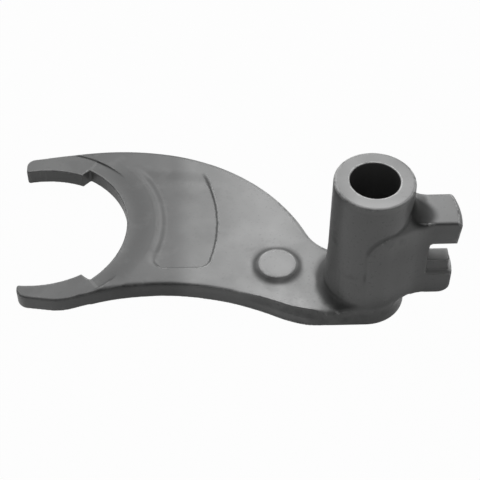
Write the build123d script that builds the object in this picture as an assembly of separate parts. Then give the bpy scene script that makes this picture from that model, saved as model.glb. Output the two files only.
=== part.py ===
from build123d import *
import math
import os

# Transmission shift fork: one steel forging, machined where it works.
# The origin is on the axis of the rail bore, in the plane that the part rests on.
# +Z runs up the bore and +X points out along the selector lug.

# Rail hub
bore_radius = 12.7
hub_height = 88.6
hub_radius = 21.0
hub_top_round = 1.4
foot_radius = 22.4
foot_flare_height = 28.0

# Plate
plate_thickness = 11.6
plate_edge_round = 2.4
underside_chamfer = 1.2
hub_blend_radius = 5.6
hub_blend_inset = 0.4

# Fork centre seen from the rail axis, and the turn of its mouth from the lug's line
fork_reach = 187.6
fork_bearing = 165.2
mouth_turn = 3.1

# Pads and throat, from the fork centre: along the mouth's axis, and across it
pad_half_span = 45.2
pad_curve_radius = 54.0
pad_curve_along = -1.0
pad_end_along = 23.9
throat_depth = 49.9
throat_radius = 54.8
notch_along = 28.4
notch_round = 1.2
tip_lead_radius = 1.5
tip_lead_lean = 10.0
lower_tip_reach = 11.6
upper_tip_reach = 9.4
lower_tip_half_width = 52.4
upper_tip_half_width = 55.2
lower_tip_round = 7.0
upper_tip_round = 5.5

# Machined ring and arms, and the deeper step of the ring between the pads
relief_radius = 60.3
relief_depth = 0.7
underside_relief_depth = 1.5
ring_step_depth = 0.3

# Outer edges of the plate
front_flat_length = 18.2
waist_point = (-48.0, -14.9)
lower_arm_root = (28.5, -53.5)
lower_arm_bend = (18.4, -56.0)
lower_arm_heel = (6.4, -56.3)
back_edge_end = (-20.9, -2.3)
back_edge_middle = (-61.3, 82.6)
back_edge_crest = (-106.2, 105.0)
upper_arm_root = (29.6, 58.7)
back_blend_radius = 25.0

# Sunk panel on the plate, a sector about the fork centre
panel_inner_radius = 71.3
panel_outer_radius = 102.0
panel_outer_angles = (-23.1, 17.8)
panel_inner_angles = (-32.4, 32.5)
panel_corner_round = 6.5
panel_depth = 1.0

# Round raised boss beside the hub
boss_place = (-46.9, 12.6)
boss_radius = 10.8
boss_height = 2.0
boss_edge_chamfer = 0.6
boss_foot_radius = 14.7

# Web and selector lug
web_proud = 0.8
web_flank_angle = 26.0
web_start_along = -2.4
web_corner_round = 14.0
lug_width = 22.4
lug_end_centre = (0, -3.0)
upper_lug_reach = 46.4
slot_roof_reach = 45.3
lower_lug_reach = 45.2
lug_top_height = 67.4
lug_bottom_height = 14.0
lug_flank_blend = 20.0
lug_top_round = 1.5
lug_bottom_round = 6.0
lug_end_chamfer = 2.0
shelf_blend_radius = 10.0
shelf_flank_lean = 25.0
underside_blend_radius = 3.0

# Selector slot
slot_root_along = 30.6
slot_roof_height = 52.3
slot_root_round = 2.0
shoulder_height = 30.2
shoulder_round = 1.9
tongue_height = 38.0
tongue_end_along = 42.8
tongue_front = -9.2
tongue_back = -0.9
tongue_back_slope = 50.0
tongue_corner_round = 1.6

# Lock screw hole through the back wall of the hub
screw_hole_bearing = 122.0
screw_hole_radius = 4.96
screw_hole_height = 44.6
screw_spot_radius = 8.5
screw_spot_depth = 0.8

# Reach of cutting bodies past the faces that they cut
clear = 5.0
small = 0.01

fork_x = fork_reach * math.cos(math.radians(fork_bearing))
fork_y = fork_reach * math.sin(math.radians(fork_bearing))
fork_frame = Location((fork_x, fork_y, 0), (0, 0, mouth_turn))


def from_fork(along, across):
    """Plan point given from the fork centre, along the mouth's axis and across it."""
    turn = math.radians(mouth_turn)
    x = fork_x + along * math.cos(turn) - across * math.sin(turn)
    y = fork_y + along * math.sin(turn) + across * math.cos(turn)
    return (x, y)


def corner_nearest(face, point):
    return face.vertices().sort_by_distance((point[0], point[1], 0))[0]


def lying_at(shapes, axis, value):
    """Those of the shapes that lie at one place along an axis."""
    return shapes.filter_by_position(axis, value - small, value + small)


def plate_plan():
    """Outer outline of the plate and the hub's foot, closed across the mouth."""
    hub_front = (0, -foot_radius)
    flat_end = (-front_flat_length, -foot_radius)
    lower_root = from_fork(*lower_arm_root)
    lower_bend = from_fork(*lower_arm_bend)
    lower_heel = from_fork(*lower_arm_heel)
    lower_corner = from_fork(-lower_tip_reach, -lower_tip_half_width)
    upper_corner = from_fork(-upper_tip_reach, upper_tip_half_width)
    upper_root = from_fork(*upper_arm_root)
    front_flat = Line(hub_front, flat_end)
    waist = TangentArc(flat_end, waist_point, tangent=front_flat % 1)
    front_hollow = TangentArc(waist_point, lower_root, tangent=waist % 1)
    arm_rise = TangentArc(lower_root, lower_bend, tangent=front_hollow % 1)
    arm_bend = TangentArc(lower_bend, lower_heel, tangent=arm_rise % 1)
    lower_arm = TangentArc(lower_heel, lower_corner, tangent=arm_bend % 1)
    mouth = Polyline(
        lower_corner,
        from_fork(-lower_tip_reach, -pad_half_span / 2),
        from_fork(-upper_tip_reach, pad_half_span / 2),
        upper_corner,
    )
    hub_chord = Line(back_edge_end, hub_front)
    back_bow = ThreePointArc(back_edge_end, back_edge_middle, back_edge_crest)
    back_crown = TangentArc(back_edge_crest, upper_root, tangent=back_bow % 1)
    upper_arm = TangentArc(upper_root, upper_corner, tangent=back_crown % 1)
    edges = front_flat + waist + front_hollow + arm_rise + arm_bend + lower_arm + mouth
    edges += upper_arm + back_crown + back_bow + hub_chord
    plan = make_face(edges)
    plan = fillet(corner_nearest(plan, lower_corner), lower_tip_round)
    plan = fillet(corner_nearest(plan, upper_corner), upper_tip_round)
    plan = plan + Circle(foot_radius)
    return fillet(corner_nearest(plan, (-foot_radius, 0)), back_blend_radius)


def plate(plan):
    """Flat plate with forged round edges above and a small chamfer below."""
    slab = extrude(plan, plate_thickness)
    slab = fillet(lying_at(slab.edges(), Axis.Z, plate_thickness), plate_edge_round)
    return chamfer(lying_at(slab.edges(), Axis.Z, 0), underside_chamfer)


def hub():
    """Rail hub above the plate's edge: its wall flares down to the foot."""
    low = plate_thickness - plate_edge_round
    foot = (foot_radius, low)
    wall_low = (hub_radius, plate_thickness + foot_flare_height)
    wall_high = (hub_radius, hub_height)
    profile = make_face(Polyline((0, low), foot, wall_low, wall_high, (0, hub_height), close=True))
    rim = profile.vertices().sort_by_distance(wall_high)[0]
    profile = fillet(rim, hub_top_round)
    return revolve(Plane.XZ * profile, Axis.Z)


def blend_ring(wall_radius, floor_height, blend_radius, rise):
    """Hollow blend around the hub, from its wall down (rise 1) or up (rise -1) to a flat."""
    depth = plate_edge_round
    inner = wall_radius - depth
    outer = wall_radius + blend_radius
    wall_end = (wall_radius, floor_height + rise * blend_radius)
    floor_end = (outer, floor_height)
    edges = TangentArc(wall_end, floor_end, tangent=(0, -rise))
    edges += Polyline(
        floor_end,
        (outer, floor_height - rise * depth),
        (inner, floor_height - rise * depth),
        (inner, floor_height + rise * blend_radius),
        wall_end,
    )
    return revolve(Plane.XZ * make_face(edges), Axis.Z)


def web_plan():
    """Plan of the web: it hugs the hub's front and back, then narrows to the lug."""
    hug_radius = hub_radius + web_proud
    slope = math.radians(web_flank_angle)
    touch = (hug_radius * math.sin(slope), hug_radius * math.cos(slope))
    half_width = lug_width / 2
    neck_x = (hug_radius - half_width * math.cos(slope)) / math.sin(slope)
    start = (web_start_along, math.sqrt(hug_radius**2 - web_start_along**2))
    reach = upper_lug_reach + clear
    hug = RadiusArc(start, touch, hug_radius)
    back = hug + Polyline(touch, (neck_x, half_width), (reach, half_width))
    front = mirror(back, Plane.XZ)
    ends = Line(start, (start[0], -start[1])) + Line((reach, half_width), (reach, -half_width))
    plan = make_face(back + front + ends)
    for side in (1, -1):
        plan = fillet(corner_nearest(plan, (neck_x, side * half_width)), lug_flank_blend)
    return plan


def web(plan):
    """Web and lug as one block, before the slot is cut."""
    block = Pos(0, 0, lug_bottom_height) * extrude(plan, lug_top_height - lug_bottom_height)
    top_edges = lying_at(block.edges(), Axis.Z, lug_top_height)
    far_end = upper_lug_reach + clear
    long_edges = top_edges.filter_by_position(Axis.X, web_start_along + small, far_end - small)
    block = fillet(long_edges, lug_top_round)
    return block & web_side_view() & lug_ends()


def web_side_view():
    """Side view of the web: its top corner by the hub's middle is rounded."""
    reach = upper_lug_reach + clear
    side = make_face(
        Polyline(
            (web_start_along, lug_bottom_height),
            (reach, lug_bottom_height),
            (reach, lug_top_height),
            (web_start_along, lug_top_height),
            close=True,
        )
    )
    corner = side.vertices().sort_by_distance((web_start_along, lug_top_height))[0]
    side = fillet(corner, web_corner_round)
    return extrude(Plane.XZ * side, foot_radius + clear, both=True)


def lug_ends():
    """Ends of the two lug halves, both struck from one centre beside the rail axis."""
    middle = (shoulder_height + slot_roof_height) / 2
    corners = [
        (0, lug_bottom_height),
        (lower_lug_reach, lug_bottom_height),
        (lower_lug_reach, middle),
        (slot_roof_reach, middle),
        (slot_roof_reach, slot_roof_height),
        (upper_lug_reach, lug_top_height - lug_end_chamfer),
        (upper_lug_reach - lug_end_chamfer, lug_top_height),
        (0, lug_top_height),
    ]
    profile = make_face(Polyline(*corners, close=True))
    low_corner = profile.vertices().sort_by_distance(corners[1])[0]
    profile = fillet(low_corner, lug_bottom_round)
    return Pos(*lug_end_centre) * revolve(Plane.XZ * profile, Axis.Z)


def shelf_limits(plan):
    """Room of the blend where the lug's top meets the hub: its flanks lean in as they rise."""
    lean = math.radians(shelf_flank_lean)
    start = lug_top_height - lug_top_round * (1 - math.tan(lean / 2))
    rise = lug_top_height + shelf_blend_radius - start
    hanging = extrude(plan, rise, taper=shelf_flank_lean)
    leaning = Pos(0, 0, start) * mirror(hanging, Plane.XY)
    corner_end = web_start_along + web_corner_round
    from_corner = (Align.MIN, Align.CENTER, Align.MIN)
    room = Box(upper_lug_reach, 2 * foot_radius, rise, align=from_corner)
    return leaning & Pos(corner_end, 0, start) * room


def throat_side(side, tip_reach):
    """One side of the throat's outline, from far outside the mouth to the pad's inner end."""
    centre_across = pad_half_span - pad_curve_radius
    lead_centre_along = tip_lead_radius - tip_reach
    lead_offset = lead_centre_along - pad_curve_along
    spread = pad_curve_radius + tip_lead_radius
    lead_centre_across = centre_across + math.sqrt(spread**2 - lead_offset**2)
    share = pad_curve_radius / spread
    pad_outer = (
        pad_curve_along + lead_offset * share,
        centre_across + (lead_centre_across - centre_across) * share,
    )
    lean = math.radians(tip_lead_lean)
    lead_outer = (
        lead_centre_along - tip_lead_radius * math.cos(lean),
        lead_centre_across - tip_lead_radius * math.sin(lean),
    )
    far = (lead_outer[0] - clear, lead_outer[1] + clear / math.tan(lean))
    pad_side = math.atan2(centre_across - lead_centre_across, -lead_offset) % math.tau
    half_turn = (math.pi + lean + pad_side) / 2
    lead_middle = (
        lead_centre_along + tip_lead_radius * math.cos(half_turn),
        lead_centre_across + tip_lead_radius * math.sin(half_turn),
    )
    pad_inner = (pad_end_along, pad_across(pad_end_along))
    pad_crown = (pad_curve_along, pad_half_span)
    edges = Line(far, lead_outer) + ThreePointArc(lead_outer, lead_middle, pad_outer)
    edges += ThreePointArc(pad_outer, pad_crown, pad_inner)
    edges += Line(pad_inner, (notch_along, notch_across()))
    return edges if side > 0 else mirror(edges, Plane.XZ)


def pad_across(along):
    """Distance of a pad's face from the mouth's axis."""
    return pad_half_span - pad_curve_radius + math.sqrt(pad_curve_radius**2 - (along - pad_curve_along) ** 2)


def notch_across():
    """Distance from the mouth's axis of the notch where pad and throat meet."""
    return math.sqrt(throat_radius**2 - (notch_along - throat_depth + throat_radius) ** 2)


def throat_plan():
    """Opening of the fork: throat, two pads and the mouth, in the fork's frame."""
    notch = (notch_along, notch_across())
    upper = throat_side(1, upper_tip_reach)
    lower = throat_side(-1, lower_tip_reach)
    throat = ThreePointArc(notch, (throat_depth, 0), (notch[0], -notch[1]))
    upper_far = tuple(upper.vertices().sort_by(Axis.X)[0])[:2]
    lower_far = tuple(lower.vertices().sort_by(Axis.X)[0])[:2]
    plan = make_face(upper + throat + lower + Line(upper_far, lower_far))
    for across in (notch[1], -notch[1]):
        plan = fillet(corner_nearest(plan, (notch[0], across)), notch_round)
    return plan


def machined_faces():
    """Shallow cuts on both faces that leave the arms and the throat's ring flat."""
    deep = relief_depth + ring_step_depth
    disc = Circle(relief_radius)
    ring_angle = math.degrees(math.atan2(notch_across(), notch_along))
    far = 2 * relief_radius
    wedge = make_face(
        Polyline(
            (0, 0),
            (far * math.cos(math.radians(ring_angle)), far * math.sin(math.radians(ring_angle))),
            (far * math.cos(math.radians(ring_angle)), -far * math.sin(math.radians(ring_angle))),
            close=True,
        )
    )
    ring = disc & wedge
    top_disc = Pos(0, 0, plate_thickness - relief_depth) * extrude(disc, relief_depth + clear)
    top_ring = Pos(0, 0, plate_thickness - deep) * extrude(ring, deep + clear)
    low_disc = Pos(0, 0, underside_relief_depth) * extrude(disc, -underside_relief_depth - clear)
    return top_disc + top_ring + low_disc


def panel():
    """Cutting body of the sunk panel: arcs toward the fork and the hub, straight sides."""
    outer_from, outer_to = panel_outer_angles
    inner_from, inner_to = panel_inner_angles
    outer = CenterArc((0, 0), panel_outer_radius, outer_from, outer_to - outer_from)
    inner = CenterArc((0, 0), panel_inner_radius, inner_from, inner_to - inner_from)
    plan = make_face(outer + inner + Line(outer @ 0, inner @ 0) + Line(outer @ 1, inner @ 1))
    plan = fillet(plan.vertices(), panel_corner_round)
    return Pos(0, 0, plate_thickness - panel_depth) * extrude(plan, panel_depth + clear)


def boss():
    """Round boss on the plate, with a hollow blend at its foot."""
    top = plate_thickness + boss_height
    low = plate_thickness - boss_height
    flat_end = (boss_radius - boss_edge_chamfer, top)
    wall_end = (boss_radius, top - boss_edge_chamfer)
    foot_end = (boss_foot_radius, plate_thickness)
    edges = Polyline((0, low), (0, top), flat_end, wall_end)
    edges += TangentArc(foot_end, wall_end, tangent=(-1, 0))
    edges += Polyline(foot_end, (boss_foot_radius, low), (0, low))
    return Pos(*boss_place) * revolve(Plane.XZ * make_face(edges), Axis.Z)


def slope_foot(height):
    """Place across the lug where the tongue's sloped back reaches a height."""
    return tongue_back + (tongue_height - height) / math.tan(math.radians(tongue_back_slope))


def lower_lug_section():
    """Section across the lower lug half: a rounded shoulder in front, a bevel behind."""
    half_width = lug_width / 2
    bevel_drop = (half_width - slope_foot(shoulder_height)) * math.tan(math.radians(tongue_back_slope))
    section = make_face(
        Polyline(
            (-half_width, lug_bottom_height),
            (half_width, lug_bottom_height),
            (half_width, shoulder_height - bevel_drop),
            (slope_foot(shoulder_height), shoulder_height),
            (-half_width, shoulder_height),
            close=True,
        )
    )
    return fillet(corner_nearest(section, (-half_width, shoulder_height)), shoulder_round)


def tongue():
    """Raised tongue in the slot: upright in front, sloped behind, round at its end corners."""
    root = slot_root_along - clear
    low = shoulder_height - clear
    foot = slope_foot(shoulder_height)
    section = make_face(
        Polyline(
            (tongue_front, low),
            (foot, low),
            (foot, shoulder_height),
            (tongue_back, tongue_height),
            (tongue_front, tongue_height),
            close=True,
        )
    )
    bar = extrude(Plane.YZ * section, tongue_end_along)
    end = tongue_end_along
    corners = [(root, tongue_front), (end, tongue_front), (end, foot), (root, foot)]
    plan = make_face(Polyline(*corners, close=True))
    for across in (tongue_front, foot):
        plan = fillet(corner_nearest(plan, (tongue_end_along, across)), tongue_corner_round)
    return bar & Pos(0, 0, low) * extrude(plan, tongue_height - low)


def slot():
    """Cutting body of the selector slot: all beyond its root but the lower half and the tongue."""
    reach = upper_lug_reach + clear
    low = lug_bottom_height - clear
    opening = make_face(
        Polyline(
            (slot_root_along, low),
            (reach, low),
            (reach, slot_roof_height),
            (slot_root_along, slot_roof_height),
            close=True,
        )
    )
    root_corner = opening.vertices().sort_by_distance((slot_root_along, slot_roof_height))[0]
    opening = fillet(root_corner, slot_root_round)
    cutter = extrude(Plane.XZ * opening, lug_width, both=True)
    lower_half = extrude(Plane.YZ * lower_lug_section(), reach + clear)
    return cutter - lower_half - tongue()


def rail_bore():
    length = hub_height + 2 * clear
    return Pos(0, 0, hub_height / 2) * Cylinder(bore_radius, length)


def screw_hole():
    """Lock screw's hole into the rail bore, with a flat spot for its head."""
    from_base = (Align.CENTER, Align.CENTER, Align.MIN)
    hole = Cylinder(screw_hole_radius, foot_radius, align=from_base)
    spot = Cylinder(screw_spot_radius, clear, align=from_base)
    drill = Rot(0, 90, 0) * (hole + Pos(0, 0, hub_radius - screw_spot_depth) * spot)
    return Pos(0, 0, screw_hole_height) * Rot(0, 0, screw_hole_bearing) * drill


def shift_fork():
    plan = plate_plan()
    lug_plan = web_plan()
    hub_blend = blend_ring(foot_radius - hub_blend_inset, plate_thickness, hub_blend_radius, 1)
    hub_blend &= extrude(plan, plate_thickness + hub_blend_radius)
    shelf_blend = blend_ring(hub_radius, lug_top_height, shelf_blend_radius, 1)
    shelf_blend &= shelf_limits(lug_plan)
    under_blend = blend_ring(foot_radius, lug_bottom_height, underside_blend_radius, -1)
    under_blend &= extrude(lug_plan, hub_height)
    body = plate(plan) + boss() + hub() + hub_blend
    body += web(lug_plan) + shelf_blend + under_blend
    body -= fork_frame * Pos(0, 0, -clear) * extrude(throat_plan(), plate_thickness + 2 * clear)
    body -= fork_frame * machined_faces()
    body -= fork_frame * panel()
    body -= slot()
    body -= rail_bore()
    body -= screw_hole()
    return body


if __name__ == "__main__":
    os.makedirs("parts", exist_ok=True)
    export_step(shift_fork(), "parts/shift_fork.step")
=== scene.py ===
import math

import bmesh
import bpy
import numpy as np
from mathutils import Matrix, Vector


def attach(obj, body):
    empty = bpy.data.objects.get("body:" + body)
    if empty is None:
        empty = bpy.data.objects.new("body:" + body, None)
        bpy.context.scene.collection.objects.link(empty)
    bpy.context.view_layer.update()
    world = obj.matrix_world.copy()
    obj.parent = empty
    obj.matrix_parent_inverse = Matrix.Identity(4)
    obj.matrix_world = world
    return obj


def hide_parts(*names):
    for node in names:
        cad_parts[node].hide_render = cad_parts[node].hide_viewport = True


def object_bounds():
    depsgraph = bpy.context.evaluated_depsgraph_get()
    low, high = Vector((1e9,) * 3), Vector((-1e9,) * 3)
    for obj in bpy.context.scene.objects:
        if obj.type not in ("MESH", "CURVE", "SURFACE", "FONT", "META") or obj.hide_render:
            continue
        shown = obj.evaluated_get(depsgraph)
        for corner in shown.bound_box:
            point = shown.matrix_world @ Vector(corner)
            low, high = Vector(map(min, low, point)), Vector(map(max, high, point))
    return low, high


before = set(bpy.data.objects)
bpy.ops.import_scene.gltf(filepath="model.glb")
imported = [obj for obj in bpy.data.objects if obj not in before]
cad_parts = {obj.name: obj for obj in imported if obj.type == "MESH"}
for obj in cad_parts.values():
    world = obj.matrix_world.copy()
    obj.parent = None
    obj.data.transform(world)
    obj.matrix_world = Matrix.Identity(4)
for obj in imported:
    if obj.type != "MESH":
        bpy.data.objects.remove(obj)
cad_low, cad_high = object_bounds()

# The fork's body: one drop forging of medium-carbon steel, with a rail hub, a flat plate with
# two arms round an open throat, and a slotted selector lug. Its skin is as forged and its dies
# left soft corners; the pads, throat, ring, slot, hub end and bore are machined and stay crisp.
mm = 0.001
skin_voxel = 0.42 * mm
skin_triangles = 190000
same_corner = 0.0005 * mm
fork_reach, fork_turn = 187.6, math.radians(165.2)
fork_centre = Vector((fork_reach * math.cos(fork_turn), fork_reach * math.sin(fork_turn), 0)) * mm
mouth_turn = math.radians(3.1)
machined_ring_radius = 60.3 * mm
panel_inner_radius = 71.3 * mm
panel_outer_radius = 102 * mm
plate_top = 11.6 * mm
boss_place = Vector((-46.9, 12.6, 0)) * mm


def baked(piece, name):
    """A plain mesh of the piece as its modifiers leave it."""
    graph = bpy.context.evaluated_depsgraph_get()
    mesh = bpy.data.meshes.new_from_object(piece.evaluated_get(graph))
    mesh.name = name
    return mesh


def in_the_scene(name, mesh):
    """A piece of that name, standing where its mesh says."""
    piece = bpy.data.objects.new(name, mesh)
    bpy.context.scene.collection.objects.link(piece)
    return piece


def kept_on(mesh, what):
    """Places ("co") or normals ("normal") of the mesh's corners."""
    values = np.empty(len(mesh.vertices) * 3)
    mesh.vertices.foreach_get(what, values)
    return values.reshape(-1, 3)


joined = bmesh.new()
joined.from_mesh(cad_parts["shift_fork"].data)
bmesh.ops.remove_doubles(joined, verts=joined.verts, dist=same_corner)
rough_mesh = bpy.data.meshes.new("rough_forging")
joined.to_mesh(rough_mesh)
joined.free()
forging = in_the_scene("fork_forging", rough_mesh)
skin = forging.modifiers.new("skin", "REMESH")
skin.mode = "VOXEL"
skin.voxel_size = skin_voxel
forging.data = baked(forging, "forged_skin")
forging.modifiers.clear()

points = kept_on(forging.data, "co")
facing = kept_on(forging.data, "normal")
x = points[:, 0].copy()
height = points[:, 2].copy()
away = points[:, :2] - np.array(fork_centre)[:2]
from_centre = np.hypot(away[:, 0], away[:, 1])
bearing = np.degrees(np.arctan2(away[:, 1], away[:, 0]) - mouth_turn)


def distance_from(place):
    """Level distance of the skin's corners from an upright line."""
    return np.hypot(x - place[0], points[:, 1] - place[1])


def within(values, low, high):
    """Where the values lie between two limits."""
    return (values > low) & (values < high)


def eased(values, low, high):
    """0 below low, 1 above high, and a smooth rise between."""
    part = np.clip((values - low) / (high - low), 0, 1)
    return part * part * (3 - 2 * part)


# The plate's front edge: its rounds were struck squarer than the die's, and towards the hub its
# side leans in as it rises. Stations along the edge are in millimetres from the rail.
edge_round = 2.4 * mm
round_foot = plate_top - edge_round
round_band = 0.4 * mm
lean_from = 6.1 * mm
lean_stations = [-138, -127, -68, -57, -46, -36, -25]
lean_there = [1.0, -0.3, -0.3, 0.8, 1.6, 2.0, 2.4]
square_stations = [-105, -95, -72, -58]
square_there = [2.8, 4.0, 4.5, 9.0]
dressed_stations = [-140, -130, -32, -22]
clear_of_ring = 61.5 * mm
clear_of_boss = 17 * mm
ring_fade = 14 * mm
panel_end_radii = [panel_inner_radius / mm, panel_outer_radius / mm]
panel_end_bearings = [-32.4, -23.1]
panel_end_margin = 2
towards_front = -0.2
nearly_upright = 0.15
nearly_level = 0.05

rail_place = (0, 0)
from_rail = distance_from(rail_place)
lean = np.interp(x / mm, lean_stations, lean_there) * mm
squareness = np.interp(x / mm, square_stations, square_there)
level_part = np.hypot(facing[:, 0], facing[:, 1]) + 1e-9
outward = facing[:, :2] / level_part[:, None]
panel_end = np.interp(from_centre / mm, panel_end_radii, panel_end_bearings) - panel_end_margin
beside_panel = within(from_centre, 69 * mm, 104 * mm) & (bearing > panel_end)
front = (outward[:, 1] < towards_front) & within(x, -140 * mm, -20 * mm)
front &= (from_centre > clear_of_ring) & ~beside_panel & (distance_from(boss_place) > clear_of_boss)
rise = edge_round * facing[:, 2]
on_top_round = front & (abs(height - rise - round_foot) < round_band) & (height > round_foot)
on_low_round = front & (abs(height - rise - edge_round) < round_band) & (height < edge_round)
on_side = front & (abs(facing[:, 2]) < nearly_upright)
on_side &= (height >= edge_round) & (height <= round_foot)
on_round = (on_top_round | on_low_round) & (level_part > nearly_level)
leaning = on_round | on_side
new_level = np.where(on_round, np.clip(level_part, 0, 1) ** (2 / squareness), 1)
new_rise = np.where(on_round, np.clip(abs(facing[:, 2]), 0, 1) ** (2 / squareness), 0) * edge_round
low_or_side = np.where(on_low_round, edge_round - new_rise, height)
new_height = np.where(on_top_round, round_foot + new_rise, low_or_side)
lean_here = lean * np.clip((new_height - lean_from) / (plate_top - lean_from), 0, 1)
inset = edge_round * (1 - new_level) * np.where(on_top_round, 1 - lean / edge_round, 1) + lean_here
old_inset = np.where(on_round, edge_round * (1 - level_part), 0)
moved = points[:, :2] + outward * (old_inset - inset)[:, None]
target = np.column_stack([moved, new_height])
fade = np.interp(x / mm, dressed_stations, [0, 1, 1, 0])
fade = fade * np.clip((from_centre - clear_of_ring) / ring_fade, 0, 1)
share = (leaning * fade)[:, None]
points = points * (1 - share) + target * share

# The ring's outer step and the panel's inner and upper sides: dressed out to wide, shallow
# slopes. Bearings are in degrees from the mouth line, seen from the throat's centre.
ring_floor = 10.6 * mm
step_height = plate_top - ring_floor
ring_slope_from, ring_slope_to = 52.3 * mm, 68.3 * mm
ring_lower_end, ring_lower_fade = -56, 12
ring_upper_end, ring_upper_fade = 54, 20
near_top = within(height, 10.3 * mm, 11.8 * mm) & (facing[:, 2] > -0.2)
ring_slope = ring_floor + step_height * eased(from_centre, ring_slope_from, ring_slope_to)
dressed = near_top & within(from_centre, ring_slope_from, ring_slope_to)
dressed &= within(bearing, ring_lower_end, ring_upper_end)
share = dressed * np.clip((bearing - ring_lower_end) / ring_lower_fade, 0, 1)
share = share * eased(-bearing, -ring_upper_end, ring_upper_fade - ring_upper_end)
points[:, 2] = points[:, 2] * (1 - share) + ring_slope * share

inner_side_from, inner_side_to = 68.8 * mm, 73.4 * mm
outer_side_from, outer_side_to = 101.2 * mm, 102.8 * mm
upper_side_from, upper_side_to = -6 * mm, 5 * mm
upper_side_place = (60.13 * mm, 38.31 * mm)
upper_side_facing = (0.1893, 0.982)
upper_side_reach, upper_side_fade = 9 * mm, 3 * mm
panel_lower_end, panel_lower_fade = -29, 4
ahead = from_centre * np.cos(np.radians(bearing)) - upper_side_place[0]
aside = from_centre * np.sin(np.radians(bearing)) - upper_side_place[1]
past_side = ahead * upper_side_facing[0] + aside * upper_side_facing[1]
sunk = eased(from_centre, inner_side_from, inner_side_to)
sunk *= 1 - eased(from_centre, outer_side_from, outer_side_to)
sunk *= 1 - eased(past_side, upper_side_from, upper_side_to)
panel_slope = plate_top - step_height * sunk
dressed = near_top & within(from_centre, 66 * mm, 105 * mm)
dressed &= (bearing > panel_lower_end) & (past_side < upper_side_reach)
at_inner_side = from_centre < 76 * mm
at_upper_side = np.clip((past_side + upper_side_reach) / upper_side_fade, 0, 1)
share = dressed * np.maximum(at_inner_side, at_upper_side)
share = share * np.clip((bearing - panel_lower_end) / panel_lower_fade, 0, 1)
points[:, 2] = points[:, 2] * (1 - share) + panel_slope * share
forging.data.vertices.foreach_set("co", points.ravel())
forging.data.update()

# Corners: where a cutter worked they stay crisp, and each patch that the die left soft is eased
# by its own number of rounds.
on_top = within(height, 8 * mm, 13 * mm)
ring_and_arms = from_centre < machined_ring_radius + 1.0 * mm
bore = from_rail < 15.0 * mm
slotted_end = x > 31.5 * mm
foot_face = height < 0.5 * mm
hub_end = height > 88.0 * mm
squared_edge = leaning & (x > -90 * mm)
panel_outer_side = on_top & (abs(from_centre - panel_outer_radius) < 3 * mm)
panel_outer_side &= within(bearing, -30, 14)
panel_lower_side = on_top & within(from_centre, 71 * mm, 104 * mm)
panel_lower_side &= within(bearing, -36, -18)
machined = ring_and_arms | bore | slotted_end | foot_face | hub_end | squared_edge
machined |= panel_outer_side | panel_lower_side
soft_edge = leaning & (x < -88 * mm)
panel_inner_corner = on_top & (abs(from_centre - panel_inner_radius) < 5.0 * mm)
panel_inner_corner &= within(bearing, -40, -22)
web_edges = within(from_rail, 20.5 * mm, 30 * mm) & within(height, 16 * mm, 80 * mm)
web_edges &= within(x, -6 * mm, 31 * mm) & (abs(points[:, 1]) > 8 * mm)
foot_front = (from_rail < 27 * mm) & within(height, 7 * mm, 19 * mm)
foot_front &= (points[:, 1] < -3 * mm) & (x > -16 * mm)
hub_blend = within(from_rail, 22.2 * mm, 33 * mm) & within(height, 11 * mm, 20 * mm)
hub_blend &= (x < -8 * mm) & (points[:, 1] > -15.5 * mm)
boss_foot = on_top & (abs(distance_from(boss_place) - 13.2 * mm) < 2.4 * mm)
easing = [
    ("soft_edge", soft_edge, 6),
    ("worked", machined, 2),
    ("forged", ~machined, 10),
    ("panel_inner", panel_inner_corner, 60),
    ("web_edges", web_edges, 22),
    ("foot_front", foot_front, 45),
    ("hub_blend", hub_blend, 90),
    ("boss_foot", boss_foot, 30),
]
for name, chosen, rounds in easing:
    group = forging.vertex_groups.new(name=name)
    group.add(np.flatnonzero(chosen).tolist(), 1.0, "REPLACE")
    ease = forging.modifiers.new("ease_" + name, "SMOOTH")
    ease.vertex_group = name
    ease.factor = 0.5
    ease.iterations = rounds
thin = forging.modifiers.new("thin", "DECIMATE")
thin.ratio = min(1.0, skin_triangles / (2 * len(forging.data.polygons)))
forging.data = baked(forging, "fork_forging")
forging.modifiers.clear()
forging.vertex_groups.clear()

# The tapped hole in the hub's wall: opened in the skin to take its thread. No corner of the
# skin stands outside the solid's box.
tapped_hole_turn = math.radians(122.0)
tapped_hole_height = 44.6 * mm
thread_crest = 4.96 * mm
thread_root = 5.58 * mm
hole_inner_end = 11.0 * mm
hole_margin = 0.3 * mm
thread_room = 0.1 * mm
hole_axis = Vector((math.cos(tapped_hole_turn), math.sin(tapped_hole_turn), 0))
hole_across = Vector((-math.sin(tapped_hole_turn), math.cos(tapped_hole_turn), 0))
trim = bmesh.new()
trim.from_mesh(forging.data)
for corner in trim.verts:
    down_hole = corner.co.dot(hole_axis)
    across = corner.co.dot(hole_across)
    up = corner.co.z - tapped_hole_height
    from_hole = math.hypot(across, up)
    if down_hole > hole_inner_end and from_hole < thread_crest + hole_margin:
        wider = (thread_root + thread_room) / from_hole
        lifted = Vector((0, 0, tapped_hole_height + up * wider))
        corner.co = hole_axis * down_hole + hole_across * across * wider + lifted
    corner.co = [min(max(corner.co[i], cad_low[i]), cad_high[i]) for i in range(3)]
bmesh.ops.triangulate(trim, faces=trim.faces)
trim.to_mesh(forging.data)
trim.free()
forging.data.polygons.foreach_set("use_smooth", [True] * len(forging.data.polygons))

# What is kept on the skin for its colour: how far a corner stands out, where handling wears the
# steel bright and highlights are painted; how hollow a corner is, where shade is painted; and where
# the slot was cut.
hollow_limit = 0.15
wear_rounds = 4
hollow_rounds = 12
points = kept_on(forging.data, "co")
facing = kept_on(forging.data, "normal")
ends = np.empty(len(forging.data.edges) * 2, dtype=np.int64)
forging.data.edges.foreach_get("vertices", ends)
ends = ends.reshape(-1, 2)
count = np.bincount(ends.ravel(), minlength=len(points)).astype(float)


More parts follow.
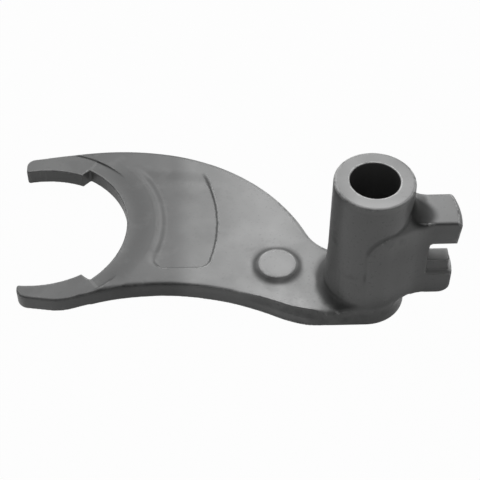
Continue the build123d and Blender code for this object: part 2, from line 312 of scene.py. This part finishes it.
def neighbour_mean(values):
    """Mean of each corner's neighbours."""
    total = np.zeros_like(values)
    np.add.at(total, ends[:, 0], values[ends[:, 1]])
    np.add.at(total, ends[:, 1], values[ends[:, 0]])
    return total / (count if values.ndim == 1 else count[:, None])


edge_lengths = np.linalg.norm(points[ends[:, 0]] - points[ends[:, 1]], axis=1)
length_sum = np.bincount(ends[:, 0], edge_lengths, len(points))
length_sum = length_sum + np.bincount(ends[:, 1], edge_lengths, len(points))
spread = length_sum / count
standing_out = 4 * ((points - neighbour_mean(points)) * facing).sum(1) / spread**2 * mm
for _ in range(wear_rounds):
    standing_out = 0.5 * standing_out + 0.5 * neighbour_mean(standing_out)
slot_cut = (points[:, 0] > 31 * mm) & within(points[:, 2], 29 * mm, 53 * mm) & (facing[:, 2] > 0.25)
round_the_hub = within(points[:, 0], -62 * mm, 30 * mm) & (points[:, 2] > 9 * mm)
hollowness = np.clip(-standing_out, 0, hollow_limit) * round_the_hub
for _ in range(hollow_rounds):
    hollowness = 0.4 * hollowness + 0.6 * neighbour_mean(hollowness)
fields = (("edge_wear_and_glint", standing_out), ("hollow", hollowness), ("slot_cut", slot_cut.astype(float)))
for name, field in fields:
    kept = forging.data.attributes.new(name, "FLOAT", "POINT")
    kept.data.foreach_set("value", field.astype(np.float32))
level = forging.modifiers.new("level", "WEIGHTED_NORMAL")
level.weight = 50

# The steel's finish: a grey forged skin under a thin film of oil, with painted shade darkening the
# machined arms, painted light paling it towards the hub, bright edges from wear and painted
# highlights, and painted shade in its hollows.
bare_steel = (0.235, 0.238, 0.237, 1)
# A dull grey: the real dull scale of the random clouds, stains and specks, and also painted shade
# on the arms, the back and left of the hub's end and the lug's top.
dull_scale_and_painted_shade = (0.165, 0.167, 0.167, 1)
# A pale grey: real pale rubs at random, and also painted light on the plate's top towards the hub.
pale_rub_and_painted_light = (0.37, 0.373, 0.372, 1)
# A bright grey: real wear and scuffs, and also painted highlights on the edges, the plate's front
# near the hub and the front lip of the hub's end, and painted light on the slot's faces.
bright_wear_and_painted_highlight = (0.72, 0.725, 0.72, 1)
# A near black: real grime in the thread's random clouds, and also painted shade in the hollows, the
# pocket, low down, at the foot, under the web and on the plate's side.
grime_and_painted_shade = (0.06, 0.061, 0.06, 1)
# A dark grey laid inside the bore: painted shade.
painted_bore_shade = (0.15, 0.15, 0.15, 1)
steel = bpy.data.materials.new("forged_steel_skin")
steel.use_nodes = True
nodes, links = steel.node_tree.nodes, steel.node_tree.links
skin_shader = nodes["Principled BSDF"]
skin_shader.inputs["Metallic"].default_value = 0.0
place = nodes.new("ShaderNodeTexCoord")
place_parts = nodes.new("ShaderNodeSeparateXYZ")
links.new(place.outputs["Object"], place_parts.inputs[0])


def step(value, low, high, kind="SMOOTHSTEP"):
    """0 at low and 1 at high, level beyond them."""
    node = nodes.new("ShaderNodeMapRange")
    node.interpolation_type = kind
    node.inputs["From Min"].default_value = low
    node.inputs["From Max"].default_value = high
    links.new(value, node.inputs["Value"])
    return node.outputs["Result"]


def clouds(scale, detail, low, high):
    """Soft noise on the steel, 0 below low and 1 above high."""
    noise = nodes.new("ShaderNodeTexNoise")
    noise.inputs["Scale"].default_value = scale
    noise.inputs["Detail"].default_value = detail
    links.new(place.outputs["Object"], noise.inputs["Vector"])
    return step(noise.outputs["Fac"], low, high, "LINEAR")


def kept_field(name, low, high):
    """A field kept on the mesh, 0 at low and 1 at high."""
    field = nodes.new("ShaderNodeAttribute")
    field.attribute_name = name
    return step(field.outputs["Fac"], low, high)


def along(axis, low, high):
    """0 at low and 1 at high along one axis of the fork."""
    return step(place_parts.outputs[axis], low * mm, high * mm)


def times(one, other):
    """Two shares multiplied, or a share and a number."""
    node = nodes.new("ShaderNodeMath")
    node.operation = "MULTIPLY"
    for value, socket in ((one, node.inputs[0]), (other, node.inputs[1])):
        if isinstance(value, float):
            socket.default_value = value
        else:
            links.new(value, socket)
    return node.outputs[0]


def between(share, low, high):
    """A level that goes from low to high as the share goes from 0 to 1."""
    node = nodes.new("ShaderNodeMapRange")
    node.inputs["To Min"].default_value = low
    node.inputs["To Max"].default_value = high
    links.new(share, node.inputs["Value"])
    return node.outputs["Result"]


def tinted(below, share, colour):
    """The colour below, with another laid over it by a share."""
    colour_below, colour_over, colour_out = 6, 7, 2
    node = nodes.new("ShaderNodeMix")
    node.data_type = "RGBA"
    links.new(share, node.inputs["Factor"])
    if isinstance(below, tuple):
        node.inputs[colour_below].default_value = below
    else:
        links.new(below, node.inputs[colour_below])
    node.inputs[colour_over].default_value = colour
    return node.outputs[colour_out]


# Where each colour lies, as shares from 0 to 1. Places along an axis are in millimetres.
cloudy_scale = clouds(38.0, 4.0, 0.48, 0.70)
stains = clouds(52.0, 6.0, 0.61, 0.68)
rubs = clouds(95.0, 3.0, 0.55, 0.75)
specks = clouds(620.0, 2.0, 0.60, 0.72)
# On the arms: painted shade, darker away from the hub.
arms = times(along("X", -92, -106), along("X", -182, -150))
# Towards the hub, on the plate's top: painted light.
towards_hub = times(along("X", -84, -48), along("Z", 7, 11))
# Along the plate's front near the hub: scuffs, and a painted highlight.
front_strip = times(times(along("X", -66, -40), along("Y", 0, -16)), along("Z", 15, 12))
scuffs_and_highlight_strip = times(front_strip, clouds(130.0, 5.0, 0.30, 0.62))
# In hollow corners round the hub: painted shade.
hollow = kept_field("hollow", 0.01, 0.13)
# On the hub's end: painted shade at its back and left, and a painted highlight at its front lip.
hub_end_back = times(along("Z", 82, 87), along("Y", -8, 14))
hub_end_left = times(along("Z", 82, 87), along("X", -8, -19))
hub_end_lip = times(along("Z", 84, 88), along("Y", -11, -20))
# Painted shade: darker towards the bottom, at the foot's front, on the web below the lug and on the
# plate's side.
bottom_line = along("Z", 3.5, 0)
foot = times(along("Z", 26, 4), along("X", -50, -5))
web = times(along("Z", 66, 48), along("X", -4, 16))
plate_side = times(along("Z", 11.2, 9.8), times(along("X", -15, -50), along("X", -150, -125)))
# Painted shade on the lug's top; on the slot's faces, paler cut steel and painted light.
lug_top = times(along("Z", 55, 62), along("X", 24, 34))
slot_faces = kept_field("slot_cut", 0.2, 0.8)
# Edges that stand out: bright with real wear and with painted highlights, stronger towards the hub.
wear_and_glint = times(kept_field("edge_wear_and_glint", 0.25, 0.60), clouds(260.0, 3.0, 0.30, 0.52))
worn_and_highlit_edges = times(wear_and_glint, between(along("X", -100, -55), 0.25, 0.9))

# The pocket between the hub and the lug's top: painted shade.
pocket_place = Vector((23.5, -4, 71.5)) * mm
from_pocket = nodes.new("ShaderNodeVectorMath")
from_pocket.operation = "DISTANCE"
from_pocket.inputs[1].default_value = pocket_place
links.new(place.outputs["Object"], from_pocket.inputs[0])
in_pocket = step(from_pocket.outputs["Value"], 12.5 * mm, 8 * mm)

# Inside the bore: painted shade.
flat_place = nodes.new("ShaderNodeVectorMath")
flat_place.operation = "MULTIPLY"
flat_place.inputs[1].default_value = (1, 1, 0)
links.new(place.outputs["Object"], flat_place.inputs[0])
rail_distance = nodes.new("ShaderNodeVectorMath")
rail_distance.operation = "LENGTH"
links.new(flat_place.outputs[0], rail_distance.inputs[0])
in_bore = step(rail_distance.outputs["Value"], 13.1 * mm, 12.8 * mm, "LINEAR")

# The colours, from the bare steel up: where each lies, how strong it is there, and its tone.
# Painted shade: the arms, the hollows, the pocket, the back and left of the hub's end, the bottom,
# the foot, the web, the plate's side, the lug's top and the bore. Painted light: towards the hub,
# the hub end's lip and the slot's faces, and, with real wear and scuffs, the front strip and the
# worn edges.
layers = [
    (arms, 0.7, dull_scale_and_painted_shade),
    (towards_hub, 1.0, pale_rub_and_painted_light),
    (cloudy_scale, 0.12, dull_scale_and_painted_shade),
    (stains, 0.45, dull_scale_and_painted_shade),
    (rubs, 0.2, pale_rub_and_painted_light),
    (scuffs_and_highlight_strip, 0.6, bright_wear_and_painted_highlight),
    (specks, 0.35, dull_scale_and_painted_shade),
    (hollow, 0.6, grime_and_painted_shade),
    (in_pocket, 0.9, grime_and_painted_shade),
    (hub_end_back, 0.7, dull_scale_and_painted_shade),
    (hub_end_left, 0.7, dull_scale_and_painted_shade),
    (hub_end_lip, 0.35, bright_wear_and_painted_highlight),
    (bottom_line, 0.7, grime_and_painted_shade),
    (foot, 0.5, grime_and_painted_shade),
    (web, 0.2, grime_and_painted_shade),
    (plate_side, 0.25, grime_and_painted_shade),
    (lug_top, 0.6, dull_scale_and_painted_shade),
    (slot_faces, 0.4, bright_wear_and_painted_highlight),
    (worn_and_highlit_edges, 1.0, bright_wear_and_painted_highlight),
    (in_bore, 1.0, painted_bore_shade),
]
tone = bare_steel
for share, strength, colour in layers:
    tone = tinted(tone, times(share, strength), colour)
links.new(tone, skin_shader.inputs["Base Color"])

# The gloss: a thin film of oil on the skin, weaker on the arms, at the back of the plate and where
# shade is painted into the colour.
back_of_plate = along("Y", 10, 70)
duller_places = [
    (back_of_plate, 0.78),
    (in_pocket, 0.1),
    (hollow, 0.75),
    (foot, 0.45),
    (web, 0.7),
    (plate_side, 0.85),
]
gloss = between(arms, 0.62, 0.42)
for share, least in duller_places:
    gloss = times(gloss, between(share, 1.0, least))
links.new(gloss, skin_shader.inputs["Specular IOR Level"])
links.new(between(clouds(70.0, 4.0, 0.3, 0.7), 0.40, 0.445), skin_shader.inputs["Roughness"])

# Fine pits of the forged skin, too small for the mesh.
pits = nodes.new("ShaderNodeTexNoise")
pits.inputs["Scale"].default_value = 900.0
pits.inputs["Detail"].default_value = 3.0
links.new(place.outputs["Object"], pits.inputs["Vector"])
grain = nodes.new("ShaderNodeBump")
grain.inputs["Strength"].default_value = 0.12
grain.inputs["Distance"].default_value = 0.1 * mm
links.new(pits.outputs["Fac"], grain.inputs["Height"])
links.new(grain.outputs["Normal"], skin_shader.inputs["Normal"])
forging.data.materials.clear()
forging.data.materials.append(steel)
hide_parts("shift_fork")
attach(forging, "root")

# The lock screw's thread: a fine V thread tapped through the hub's wall to the bore, cut in the
# same steel and left bare under a film of oil. It is spun round its own axis and then turned
# into the hole.
pitch = 1.27 * mm
thread_back = 5.8 * mm
thread_start = 13.1 * mm
thread_turns = 5
steps_per_turn = 36
crest_start, crest_end, root_start, root_end, next_crest = 0.0, 0.16, 0.53, 0.63, 1.0
thread_profile = [
    (thread_crest, crest_start),
    (thread_crest, crest_end),
    (thread_root, root_start),
    (thread_root, root_end),
    (thread_crest, next_crest),
]
cutting = bmesh.new()
profile = [
    cutting.verts.new((radius, 0, (share_of_pitch - 1) * pitch))
    for radius, share_of_pitch in thread_profile
]
flanks = [cutting.edges.new(pair) for pair in zip(profile, profile[1:])]
whole_turns = thread_turns + 2
bmesh.ops.spin(
    cutting, geom=profile + flanks, cent=(0, 0, 0), axis=(0, 0, 1), angle=math.tau * whole_turns,
    steps=steps_per_turn * whole_turns, dvec=(0, 0, pitch / steps_per_turn), use_merge=False,
)
bmesh.ops.remove_doubles(cutting, verts=cutting.verts, dist=0.003 * mm)
for end_height, end_side in ((0.5 * pitch, -1), ((0.5 + thread_turns) * pitch, 1)):
    everything = cutting.verts[:] + cutting.edges[:] + cutting.faces[:]
    bmesh.ops.bisect_plane(
        cutting, geom=everything, plane_co=(0, 0, end_height), plane_no=(0, 0, end_side),
        clear_outer=True,
    )
rim = [edge for edge in cutting.edges if edge.is_boundary]
grown = bmesh.ops.extrude_edge_only(cutting, edges=rim)["geom"]
outer_ring = [edge for edge in grown if isinstance(edge, bmesh.types.BMEdge) and edge.is_boundary]
for corner in {corner for edge in outer_ring for corner in edge.verts}:
    corner.co.xy = corner.co.xy.normalized() * thread_back
bmesh.ops.bridge_loops(cutting, edges=outer_ring)
bmesh.ops.remove_doubles(cutting, verts=cutting.verts, dist=0.002 * mm)
bmesh.ops.recalc_face_normals(cutting, faces=cutting.faces)
for corner in cutting.verts:
    down_hole = corner.co.z - 0.5 * pitch + thread_start
    lifted = Vector((0, 0, tapped_hole_height + corner.co.y))
    corner.co = hole_axis * down_hole + hole_across * corner.co.x + lifted
if cutting.calc_volume(signed=True) < 0:
    bmesh.ops.reverse_faces(cutting, faces=cutting.faces)
thread_mesh = bpy.data.meshes.new("lock_screw_thread")
cutting.to_mesh(thread_mesh)
cutting.free()
thread = in_the_scene("lock_screw_thread", thread_mesh)
cut_steel = bpy.data.materials.new("cut_thread_steel")
cut_steel.use_nodes = True
nodes, links = cut_steel.node_tree.nodes, cut_steel.node_tree.links
place = nodes.new("ShaderNodeTexCoord")
cut_shader = nodes["Principled BSDF"]
cut_shader.inputs["Metallic"].default_value = 0.0
cut_shader.inputs["Specular IOR Level"].default_value = 0.7
cut_shader.inputs["Roughness"].default_value = 0.34
thread_tone = tinted(bare_steel, clouds(420.0, 3.0, 0.45, 0.65), grime_and_painted_shade)
links.new(thread_tone, cut_shader.inputs["Base Color"])
thread_mesh.materials.append(cut_steel)
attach(thread, "root")

# The floor: a seamless white studio sweep that the fork stands on. It shows white to the
# camera and in the steel, and keeps a faint shadow.
floor_reach = 3.0
floor_drop = 0.05 * mm
studio_white = 0.98
paper_grey = (0.22, 0.22, 0.22, 1)
white = (1, 1, 1, 1)
floor_mesh = bpy.data.meshes.new("studio_floor")
sweep = bmesh.new()
bmesh.ops.create_grid(sweep, x_segments=1, y_segments=1, size=floor_reach)
bmesh.ops.translate(sweep, verts=sweep.verts, vec=(0, 0, -floor_drop))
sweep.to_mesh(floor_mesh)
sweep.free()
floor = in_the_scene("studio_floor", floor_mesh)
paper = bpy.data.materials.new("white_paper")
paper.use_nodes = True
nodes, links = paper.node_tree.nodes, paper.node_tree.links
nodes.clear()
paper_ray = nodes.new("ShaderNodeLightPath")
shows_white = paper_ray.outputs["Is Camera Ray"]
for kind_of_ray in ("Is Glossy Ray", "Is Transmission Ray"):
    either = nodes.new("ShaderNodeMath")
    either.operation = "MAXIMUM"
    links.new(shows_white, either.inputs[0])
    links.new(paper_ray.outputs[kind_of_ray], either.inputs[1])
    shows_white = either.outputs[0]
matt = nodes.new("ShaderNodeBsdfDiffuse")
matt.inputs["Color"].default_value = paper_grey
glow = nodes.new("ShaderNodeEmission")
glow.inputs["Color"].default_value = white
paper_mix = nodes.new("ShaderNodeMixShader")
links.new(times(shows_white, studio_white), paper_mix.inputs[0])
links.new(matt.outputs[0], paper_mix.inputs[1])
links.new(glow.outputs[0], paper_mix.inputs[2])
paper_out = nodes.new("ShaderNodeOutputMaterial")
links.new(paper_mix.outputs[0], paper_out.inputs["Surface"])
floor.data.materials.append(paper)

# The light: a big soft box above and behind the fork, as in a small product studio, and a weak
# even light from all round, which is white where the camera looks past the floor.
air_light = 0.12
world = bpy.data.worlds.new("studio_air")
bpy.context.scene.world = world
world.use_nodes = True
nodes, links = world.node_tree.nodes, world.node_tree.links
nodes["Background"].inputs["Color"].default_value = white
air_ray = nodes.new("ShaderNodeLightPath")
air_glow = between(air_ray.outputs["Is Camera Ray"], air_light, studio_white)
links.new(air_glow, nodes["Background"].inputs["Strength"])

box_place = Vector((-0.01, 0.60, 0.65))
box_aim = Vector((-50, 20, 12)) * mm
back_box = bpy.data.lights.new("back_box", "AREA")
back_box.shape = "RECTANGLE"
back_box.size = back_box.size_y = 0.42
back_box.energy = 4.6
box_stand = bpy.data.objects.new("back_box", back_box)
bpy.context.scene.collection.objects.link(box_stand)
box_stand.location = box_place
box_stand.rotation_euler = (box_aim - box_place).to_track_quat("-Z", "Y").to_euler()

# The camera: a long lens looking down on the fork from the front at the angle of the picture.
eye = bpy.data.cameras.new("camera")
eye.sensor_width = 36.0
eye.lens = 88.9
eye.clip_start = 0.01
eye.clip_end = 20.0
camera = bpy.data.objects.new("camera", eye)
bpy.context.scene.collection.objects.link(camera)
camera.location = Vector((-80.05, -423.6, 504.35)) * mm
camera.rotation_euler = (math.radians(42.8), 0, math.radians(-1.65))
bpy.context.scene.camera = camera
bpy.context.scene.view_settings.view_transform = "Standard"
